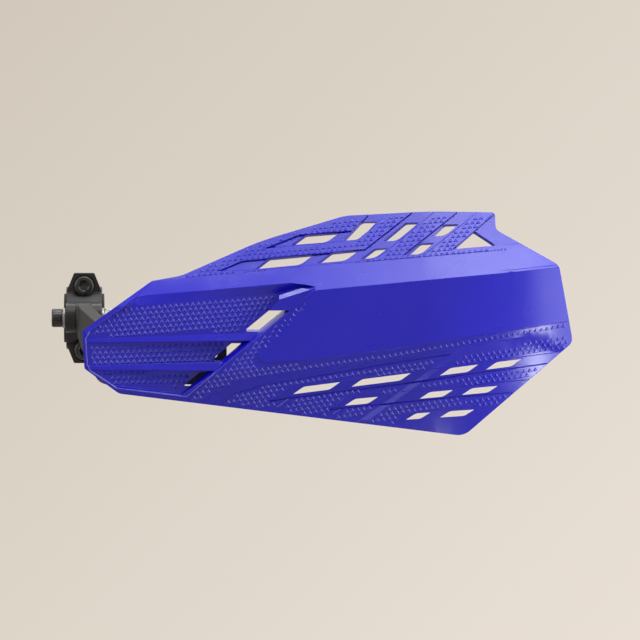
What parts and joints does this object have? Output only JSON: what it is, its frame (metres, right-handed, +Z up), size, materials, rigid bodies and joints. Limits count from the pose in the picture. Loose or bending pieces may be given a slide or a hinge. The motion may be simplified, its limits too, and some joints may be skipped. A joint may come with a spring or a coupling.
{
  "type": "motorcycle hand guard",
  "caption": "Vented moulded hand guard with ribbed air ducts and textured bands, carried by a bent arm and a split clamp on the handlebar.",
  "frame": {"origin": "on the handlebar axis, at the middle of the bar clamp", "axes": "+X outboard along the handlebar, +Y back towards the rider, +Z up"},
  "size_m": [0.2824, 0.1032, 0.1211],
  "materials": {
    "shell_plastic": "satin blue, moulded in colour",
    "arm_plastic": "black glass-filled nylon",
    "clamp_metal": "black anodised",
    "shim_rubber": "matt",
    "fastener_steel": "zinc plated",
    "insert_brass": "machined"
  },
  "bodies": {
    "root": {"guard_shell": "shell_plastic", "mount_arm": "arm_plastic", "clamp_front": "clamp_metal", "clamp_rear": "clamp_metal", "bar_shim_front": "shim_rubber", "bar_shim_rear": "shim_rubber", "clamp_bolt_upper": "fastener_steel", "clamp_bolt_lower": "fastener_steel", "clamp_washer_upper": "fastener_steel", "clamp_washer_lower": "fastener_steel", "clamp_nut_upper": "fastener_steel", "clamp_nut_lower": "fastener_steel", "pivot_bolt": "fastener_steel", "pivot_washer_inner": "fastener_steel", "pivot_washer_outer": "fastener_steel", "pivot_nut": "fastener_steel", "guard_screw_inner": "fastener_steel", "guard_screw_outer": "fastener_steel", "guard_washer_inner": "fastener_steel", "guard_washer_outer": "fastener_steel", "shell_insert_inner": "insert_brass", "shell_insert_outer": "insert_brass"}
  },
  "joints": []
}
